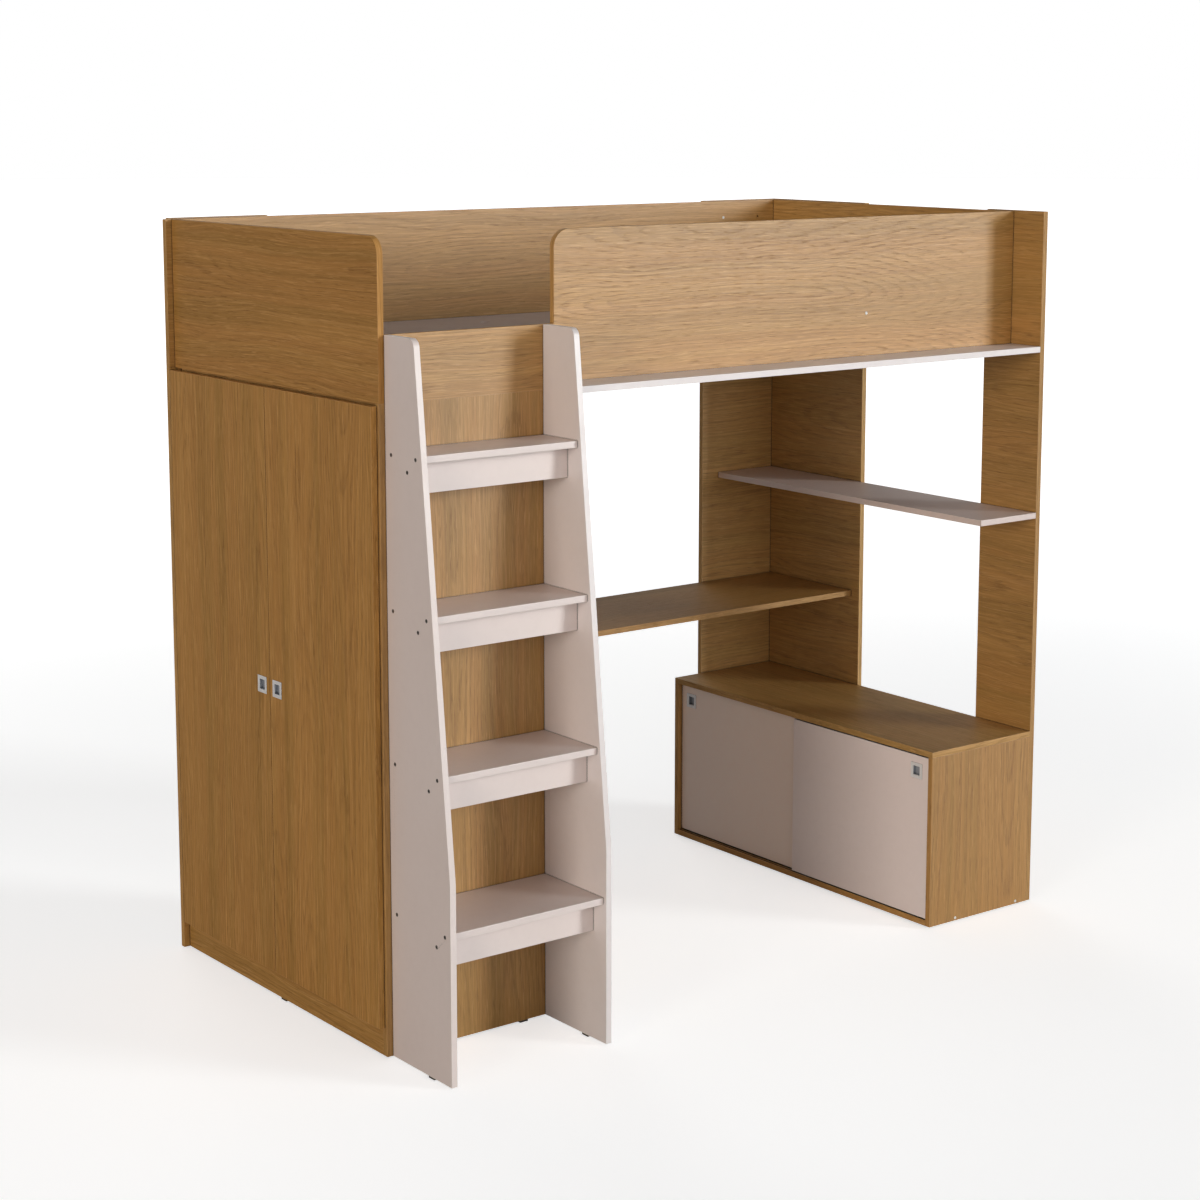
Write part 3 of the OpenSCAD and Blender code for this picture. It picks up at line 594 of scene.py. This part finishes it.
def pull_material(node_name):
    """Satin silver frame around a darker blue-grey recess, told apart by its depth."""
    material, tree, shader, place = start_material("pull_metal." + node_name)
    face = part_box(node_name)[0][X]
    point = place.outputs["Object"]
    lines = brushed_lines(tree, point, Z)
    cloud = noise(tree, point, *METAL_CLOUD)
    grime = soiling(tree, point, *METAL_GRIME)
    behind = calc(tree, "SUBTRACT", split(tree, point)[X], face)
    deep = remap(tree, behind, *RECESS_DEPTHS, smooth=True)
    tint = mix_colour(tree, remap(tree, cloud, *CLOUD_LEVELS), PULL_RIM, PULL_RIM_CLOUD)
    tint = mix_colour(tree, deep, tint, PULL_RECESS)
    tint = mix_colour(tree, calc(tree, "MULTIPLY", grime, PULL_SOILED), tint, PULL_GRIME)
    # painted shade in the pull's corners and where it meets the door
    shade = painted_joint_shade(tree, *PULL_PAINTED_SHADE)
    tint = vector_calc(tree, "MULTIPLY", tint, join(tree, shade, shade, shade))
    wire(tree, tint, shader.inputs["Base Color"])
    shader.inputs["Metallic"].default_value = PULL_METALLIC
    rough = remap(tree, lines, *CLOUD_LEVELS, *PULL_ROUGH)
    wire(tree, rough, shader.inputs["Roughness"])
    bump(tree, shader, lines, *METAL_BUMP)
    return material


def metal_material(name, colour, dark, rough_low, rough_high, brushed=None):
    """Cast or drawn metal: uneven sheen, fine wear. brushed is the axis of its lines, if any."""
    material, tree, shader, place = start_material(name)
    point = place.outputs["Object"]
    lines = brushed_lines(tree, point, brushed)
    cloud = noise(tree, point, *METAL_CLOUD)
    grime = soiling(tree, point, *METAL_GRIME)
    tint = mix_colour(tree, remap(tree, cloud, *CLOUD_LEVELS, 0.0, METAL_CLOUDED), colour, dark)
    tint = mix_colour(tree, calc(tree, "MULTIPLY", grime, METAL_SOILED), tint, dark)
    wire(tree, tint, shader.inputs["Base Color"])
    shader.inputs["Metallic"].default_value = 1.0
    rough = remap(tree, lines, *CLOUD_LEVELS, rough_low, rough_high)
    rough = calc(tree, "ADD", rough, calc(tree, "MULTIPLY", grime, METAL_SOILED_ROUGH))
    wire(tree, rough, shader.inputs["Roughness"])
    bump(tree, shader, lines, *METAL_BUMP)
    return material


def plastic_material(name, colour, dark, rough_low, rough_high):
    """Moulded plastic: a fine pebbled skin, slightly uneven shine and a few scuffs."""
    material, tree, shader, place = start_material(name)
    point = place.outputs["Object"]
    skin = noise(tree, point, *PLASTIC_SKIN)
    cloud = noise(tree, point, *PLASTIC_CLOUD)
    scuffs = soiling(tree, point, *PLASTIC_SCUFFS)
    tint = mix_colour(tree, remap(tree, cloud, *CLOUD_LEVELS, 0.0, PLASTIC_CLOUDED), colour, dark)
    tint = mix_colour(tree, calc(tree, "MULTIPLY", scuffs, PLASTIC_SOILED), tint, dark)
    wire(tree, tint, shader.inputs["Base Color"])
    rough = remap(tree, cloud, *CLOUD_LEVELS, rough_low, rough_high)
    wire(tree, rough, shader.inputs["Roughness"])
    bump(tree, shader, skin, *PLASTIC_BUMP)
    return material


# edges: widths of the small bevels in metres, angles in degrees
BOARD_EDGE = 0.0008
TIMBER_EDGE = 0.0012
FITTING_EDGE = 0.0003
SCREW_EDGE = 0.0002
PULL_EDGE = 0.0006
FOOT_EDGE = 0.0005
REAL_EDGE_ANGLE = 50.0
FLAT_ANGLE = 0.3
WELD_REACH = 0.00002
EDGE_SEGMENTS = 2
PULL_SEGMENTS = 3
FACE_WEIGHT = 100


def clean_shading_group():
    """Smooth shading over round faces and bevels, sharp at real edges."""
    tree = bpy.data.node_groups.new("clean_shading", "GeometryNodeTree")
    tree.interface.new_socket(name="Geometry", in_out="INPUT", socket_type="NodeSocketGeometry")
    tree.interface.new_socket(name="Geometry", in_out="OUTPUT", socket_type="NodeSocketGeometry")
    given = tree.nodes.new("NodeGroupInput")
    out = tree.nodes.new("NodeGroupOutput")
    angle = tree.nodes.new("GeometryNodeInputMeshEdgeAngle")
    sharp = tree.nodes.new("FunctionNodeCompare")
    sharp.data_type = "FLOAT"
    sharp.operation = "GREATER_THAN"
    tree.links.new(angle.outputs["Unsigned Angle"], sharp.inputs[0])
    sharp.inputs[1].default_value = math.radians(REAL_EDGE_ANGLE)
    normals = tree.nodes.new("GeometryNodeSetMeshNormal")
    normals.mode = "SHARPNESS"
    normals.inputs["Remove Custom"].default_value = True
    tree.links.new(given.outputs[0], normals.inputs["Mesh"])
    tree.links.new(sharp.outputs[0], normals.inputs["Edge Sharpness"])
    tree.links.new(normals.outputs[0], out.inputs[0])
    return tree


CLEAN = clean_shading_group()


def soften(node_name, width, segments=EDGE_SEGMENTS):
    """Joins a CAD node's split vertices and flat faces, bevels its edges and shades it cleanly."""
    piece = NODES[node_name]
    weld = piece.modifiers.new("join", "WELD")
    weld.merge_threshold = WELD_REACH
    flat = piece.modifiers.new("flat", "DECIMATE")
    flat.decimate_type = "DISSOLVE"
    flat.angle_limit = math.radians(FLAT_ANGLE)
    ease = piece.modifiers.new("ease", "BEVEL")
    ease.width = width
    ease.segments = segments
    ease.limit_method = "ANGLE"
    ease.angle_limit = math.radians(REAL_EDGE_ANGLE)
    ease.use_clamp_overlap = False
    shade = piece.modifiers.new("shade", "NODES")
    shade.node_group = CLEAN
    even = piece.modifiers.new("even", "WEIGHTED_NORMAL")
    even.mode = "FACE_AREA"
    even.weight = FACE_WEIGHT
    even.keep_sharp = True


# the axis that each oak board's print runs along
OAK_GRAIN = {
    "guard_left": Y, "guard_right": Y, "guard_back": X, "guard_front": X,
    "upright_back_left": X, "upright_back_right": X, "upright_end_rear": Y, "upright_end_front": Y,
    "desk_top": X, "desk_rail": X,
    "wardrobe_side_front": Z, "wardrobe_side_rear": Z, "wardrobe_back": Z, "wardrobe_floor": Y,
    "wardrobe_lid": Y, "wardrobe_partition": Z, "wardrobe_shelf_low": Y, "wardrobe_shelf_high": Y,
    "kick_board": Y, "door_left": Z, "door_right": Z,
    "cabinet_top": Y, "cabinet_floor": Y, "cabinet_side_front": Z, "cabinet_side_rear": Z,
    "cabinet_back": Y, "cabinet_divider": Z,
}
# painted light and shade: tints that bring single boards to their lit or shaded tone in the
# photograph, lighter, darker or bluer than the oak itself
OAK_LIGHTING_TINT = {
    "door_left": (1.02, 0.99, 0.96), "door_right": (1.06, 1.02, 0.98),
    "guard_left": (1.00, 0.95, 0.90),
    "upright_end_front": (0.90, 0.90, 0.92), "upright_end_rear": (1.05, 1.13, 1.28),
    "upright_back_right": (1.24, 1.36, 1.62), "cabinet_side_front": (0.94, 0.91, 0.89),
    "cabinet_top": (1.03, 1.08, 1.18), "desk_top": (0.83, 0.82, 0.80),
}
# oak boards that shine less than the others
MATT_OAK = ["guard_left", "door_left", "door_right", "kick_board"]
BLUSH_BOARDS = [
    "front_beam", "deck_panel_left", "deck_panel_middle", "deck_panel_right",
    "stile_left", "stile_right",
    "tread_1", "tread_2", "tread_3", "tread_4", "riser_1", "riser_2", "riser_3", "riser_4",
    "open_shelf", "sliding_door_front", "sliding_door_rear",
]
# painted light and shade: tints that bring single lacquered boards to a lit or shaded tone,
# lighter, darker or bluer than the lacquer itself
BLUSH_LIGHTING_TINT = {
    "sliding_door_front": (1.15, 1.17, 1.20), "sliding_door_rear": (1.30, 1.26, 1.18),
    "open_shelf": (0.92, 0.88, 0.86), "front_beam": (1.02, 1.08, 1.12),
    "stile_right": (1.00, 1.06, 1.10),
    "deck_panel_left": (0.80, 0.80, 0.82), "deck_panel_middle": (0.80, 0.80, 0.82),
    "deck_panel_right": (0.80, 0.80, 0.82),
}

# material, colour, darker colour, lowest and highest roughness
NICKEL = ("hinge_steel.nickel", (0.62, 0.60, 0.56, 1), (0.42, 0.40, 0.37, 1), 0.22, 0.38)
RAIL_STEEL = ("hinge_steel.rail", (0.70, 0.70, 0.70, 1), (0.50, 0.50, 0.50, 1), 0.14, 0.28)
SCREW_STEEL = ("screw_steel.dark", (0.20, 0.19, 0.18, 1), (0.09, 0.085, 0.08, 1), 0.30, 0.48)
CAP_PLASTIC = ("white_plastic.caps", (0.82, 0.81, 0.78, 1), (0.66, 0.65, 0.62, 1), 0.30, 0.45)
FOOT_PLASTIC = (
    "feet_plastic.brown", (0.060, 0.045, 0.034, 1), (0.11, 0.095, 0.08, 1), 0.42, 0.60,
)
GLIDE_PLASTIC = (
    "glide_plastic.black", (0.030, 0.030, 0.032, 1), (0.08, 0.08, 0.08, 1), 0.35, 0.55,
)

finishes = {}
for number, (name, axis) in enumerate(OAK_GRAIN.items()):
    sheen = MATT_SHEEN if name in MATT_OAK else OAK_SHEEN
    finishes[name] = oak_material(name, axis, number, OAK_LIGHTING_TINT.get(name, PLAIN), sheen)
    soften(name, BOARD_EDGE)
for number, name in enumerate(BLUSH_BOARDS):
    finishes[name] = blush_material(name, number, BLUSH_LIGHTING_TINT.get(name, PLAIN))
    soften(name, BOARD_EDGE)
for number, name in enumerate(["deck_cleats", "deck_bearers"]):
    finishes[name] = pine_material(name, number)
    soften(name, TIMBER_EDGE)

for name in ["pull_left", "pull_right", "pull_slide_front", "pull_slide_rear"]:
    finishes[name] = pull_material(name)
    soften(name, PULL_EDGE, PULL_SEGMENTS)
small_parts = [
    (metal_material(*NICKEL), FITTING_EDGE,
     ["hinge_cups_left", "hinge_cups_right", "hinge_arms", "rail_sockets"]),
    (metal_material(*RAIL_STEEL, brushed=Y), FITTING_EDGE, ["hanging_rail"]),
    (metal_material(*SCREW_STEEL), SCREW_EDGE, ["ladder_screws"]),
    (plastic_material(*CAP_PLASTIC), FITTING_EDGE, ["screw_caps"]),
    (plastic_material(*FOOT_PLASTIC), FOOT_EDGE, ["feet"]),
    (plastic_material(*GLIDE_PLASTIC), FITTING_EDGE, ["glides_front", "glides_rear"]),
]
for finish, width, names in small_parts:
    for name in names:
        finishes[name] = finish
        soften(name, width)

for name, finish in finishes.items():
    for slot in NODES[name].material_slots:
        slot.material = finish
missing = sorted(set(NODES) - set(finishes))
if missing:
    raise RuntimeError("no finish for " + ", ".join(missing))

# floor: its size in metres, its colours and its cloud's scale, detail and roughness
FLOOR_RADIUS = 60.0
FLOOR_SIDES = 96
FLOOR_LOW = (0.84, 0.84, 0.84, 1)
FLOOR_HIGH = (0.86, 0.86, 0.86, 1)
FLOOR_CLOUD = (0.9, 2.0, 0.5)
FLOOR_ROUGH = 0.75
FLOOR_SHEEN = 0.1
# seen by the camera, the floor glows more with the distance, so that it meets the white backdrop
GLOW_REACH = (2.0, 9.0)
GLOW_LEVELS = (0.62, 1.0)
# for all other light it is a plain grey, so that it lights the boards less
FLOOR_DIM = (0.55, 0.55, 0.55, 1.0)

# world: white to the camera, and else a soft light, which is strongest near the horizon
WHITE = (1.0, 1.0, 1.0, 1.0)
WORLD_DIFFUSE = (0.97, 1.0, 1.06, 1.0)
WORLD_MIRRORED = (0.92, 0.86, 0.80, 1.0)
WORLD_HEIGHTS = (0.1, 0.8)
WORLD_LEVELS = (0.28, 0.10)

# lights: the distance only places the lamps, because a sun's light doesn't depend on it
LIGHT_DISTANCE = 8.0
KEY_COLOUR = (1.0, 1.035, 1.03)
# name, azimuth, elevation and spread in degrees, strength, colour
LIGHTS = [
    ("key_low", 39.0, 4.0, 16.0, 0.90, KEY_COLOUR),
    ("key_high", 39.0, 15.0, 16.0, 0.92, KEY_COLOUR),
    ("front", 12.0, 6.0, 32.0, 0.38, (1.0, 0.98, 0.97)),
    ("fill_left", -69.0, 7.0, 20.0, 1.15, (1.0, 0.90, 0.78)),
    ("camera_side", -35.0, 4.0, 60.0, 0.44, (1.0, 0.94, 0.88)),
    ("back", 165.0, 25.0, 30.0, 0.4, (1.0, 0.99, 0.97)),
]


def make_floor():
    mesh = bpy.data.meshes.new("floor")
    shape = bmesh.new()
    bmesh.ops.create_circle(shape, cap_ends=True, radius=FLOOR_RADIUS, segments=FLOOR_SIDES)
    shape.to_mesh(mesh)
    shape.free()
    floor = bpy.data.objects.new("floor", mesh)
    bpy.context.scene.collection.objects.link(floor)
    material, tree, shader, place = start_material("floor_pale")
    cloud = noise(tree, place.outputs["Object"], *FLOOR_CLOUD)
    colour = mix_colour(tree, cloud, FLOOR_LOW, FLOOR_HIGH)
    wire(tree, colour, shader.inputs["Base Color"])
    shader.inputs["Roughness"].default_value = FLOOR_ROUGH
    shader.inputs["Specular IOR Level"].default_value = FLOOR_SHEEN
    glow = tree.nodes.new("ShaderNodeEmission")
    away = vector_calc(tree, "LENGTH", place.outputs["Object"])
    strength = remap(tree, away, *GLOW_REACH, *GLOW_LEVELS, smooth=True)
    wire(tree, strength, glow.inputs["Strength"])
    both = tree.nodes.new("ShaderNodeAddShader")
    path = tree.nodes.new("ShaderNodeLightPath")
    chosen = tree.nodes.new("ShaderNodeMixShader")
    output = next(n for n in tree.nodes if n.type == "OUTPUT_MATERIAL")
    tree.links.new(shader.outputs[0], both.inputs[0])
    tree.links.new(glow.outputs[0], both.inputs[1])
    tree.links.new(path.outputs["Is Camera Ray"], chosen.inputs[0])
    dim = tree.nodes.new("ShaderNodeBsdfDiffuse")
    dim.inputs["Color"].default_value = FLOOR_DIM
    tree.links.new(dim.outputs[0], chosen.inputs[1])
    tree.links.new(both.outputs[0], chosen.inputs[2])
    tree.links.new(chosen.outputs[0], output.inputs[0])
    mesh.materials.append(material)


def make_light(name, azimuth, elevation, spread, strength, colour):
    """A sun with a wide disc. Azimuth runs from the front (0) to the right (90), in degrees."""
    data = bpy.data.lights.new(name, "SUN")
    data.angle = math.radians(spread)
    data.energy = strength
    data.color = colour
    light = bpy.data.objects.new(name, data)
    a, e = math.radians(azimuth), math.radians(elevation)
    away = Vector((math.sin(a) * math.cos(e), -math.cos(a) * math.cos(e), math.sin(e)))
    light.location = away * LIGHT_DISTANCE
    light.rotation_euler = (-away).to_track_quat("-Z", "Y").to_euler()
    bpy.context.scene.collection.objects.link(light)


def make_world():
    world = bpy.data.worlds.new("studio")
    bpy.context.scene.world = world
    world.use_nodes = True
    tree = world.node_tree
    tree.nodes.clear()
    seen = tree.nodes.new("ShaderNodeBackground")
    seen.inputs["Color"].default_value = WHITE
    seen.inputs["Strength"].default_value = 1.0
    soft = tree.nodes.new("ShaderNodeBackground")
    path = tree.nodes.new("ShaderNodeLightPath")
    mirrored = path.outputs["Is Glossy Ray"]
    wire(tree, mix_colour(tree, mirrored, WORLD_DIFFUSE, WORLD_MIRRORED), soft.inputs["Color"])
    sight = tree.nodes.new("ShaderNodeTexCoord")
    level = calc(tree, "ABSOLUTE", split(tree, sight.outputs["Generated"])[Z])
    wire(tree, remap(tree, level, *WORLD_HEIGHTS, *WORLD_LEVELS), soft.inputs["Strength"])
    mixed = tree.nodes.new("ShaderNodeMixShader")
    output = tree.nodes.new("ShaderNodeOutputWorld")
    tree.links.new(path.outputs["Is Camera Ray"], mixed.inputs[0])
    tree.links.new(soft.outputs[0], mixed.inputs[1])
    tree.links.new(seen.outputs[0], mixed.inputs[2])
    tree.links.new(mixed.outputs[0], output.inputs[0])


make_floor()
make_world()
for light in LIGHTS:
    make_light(*light)
